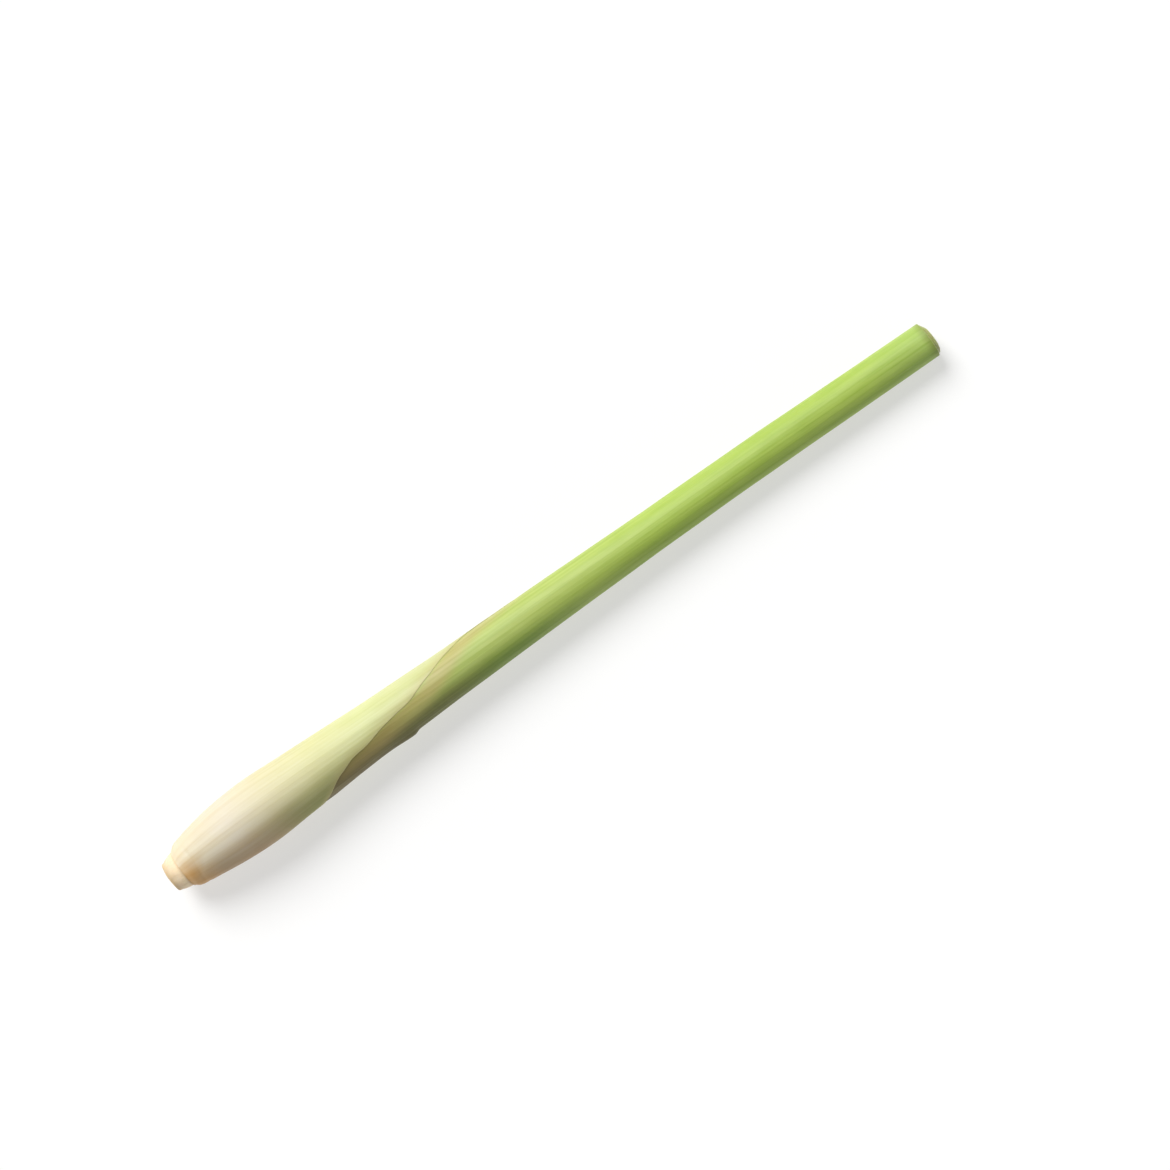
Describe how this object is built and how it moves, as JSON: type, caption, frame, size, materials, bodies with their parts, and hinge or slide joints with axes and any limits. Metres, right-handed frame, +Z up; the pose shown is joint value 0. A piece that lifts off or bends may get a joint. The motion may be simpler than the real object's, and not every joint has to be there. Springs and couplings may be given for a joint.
{
  "type": "lemongrass stalk",
  "caption": "Trimmed lemongrass stalk lying on its side: rolled leaf sheaths on a short stem, with a pale swollen base and a cut green tip.",
  "frame": {"origin": "on the resting surface, under the middle of the stalk's box", "axes": "+X along the stalk towards the cut green tip, +Z up, +Y to the side away from the first sheath's opening"},
  "size_m": [0.224, 0.0166, 0.0161],
  "materials": {
    "stem": "matte cut plant flesh, cream to tan",
    "outer_sheath": "satin leaf skin, cream at the base to pale yellow-green",
    "green_sheath": "satin leaf skin, yellow-green with fine veins",
    "inner_sheath": "matte cut leaf edges, pale green",
    "heart": "matte cut leaf edges, pale yellow"
  },
  "bodies": {
    "root": {"basal_stem": "stem", "outer_sheath": "outer_sheath", "second_sheath": "green_sheath", "third_sheath": "inner_sheath", "fourth_sheath": "inner_sheath", "fifth_sheath": "inner_sheath", "sixth_sheath": "inner_sheath", "heart_leaf": "heart"}
  },
  "joints": []
}
